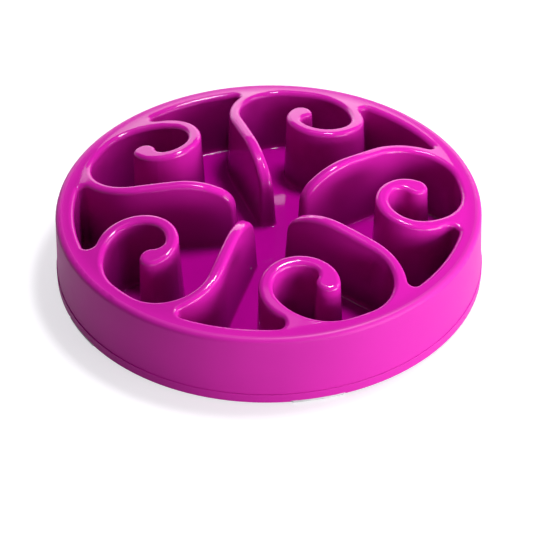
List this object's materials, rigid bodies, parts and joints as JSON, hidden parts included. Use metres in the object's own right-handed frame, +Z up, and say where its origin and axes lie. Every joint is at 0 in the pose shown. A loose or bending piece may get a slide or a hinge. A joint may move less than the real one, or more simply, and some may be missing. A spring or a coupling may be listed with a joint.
{
  "type": "slow feeder bowl",
  "caption": "Round moulded pet bowl whose floor is a maze of tall scroll-shaped ridges that slow eating, standing on soft rubber grip strips under its lip.",
  "frame": {"origin": "on the bowl's axis, at the level of the surface that it stands on", "axes": "+Z up along the bowl's axis; -Y is the front, the side nearest the viewer in the picture; +X is its right"},
  "size_m": [0.2794, 0.2794, 0.0608],
  "materials": {
    "bowl_plastic": "glossy moulded magenta plastic, satin on the outer wall",
    "grip_rubber": "matt translucent grey-white soft rubber"
  },
  "bodies": {
    "root": {"bowl_shell": "bowl_plastic", "grip_strip_1": "grip_rubber", "grip_strip_2": "grip_rubber", "grip_strip_3": "grip_rubber", "grip_strip_4": "grip_rubber", "grip_strip_5": "grip_rubber"}
  },
  "joints": []
}
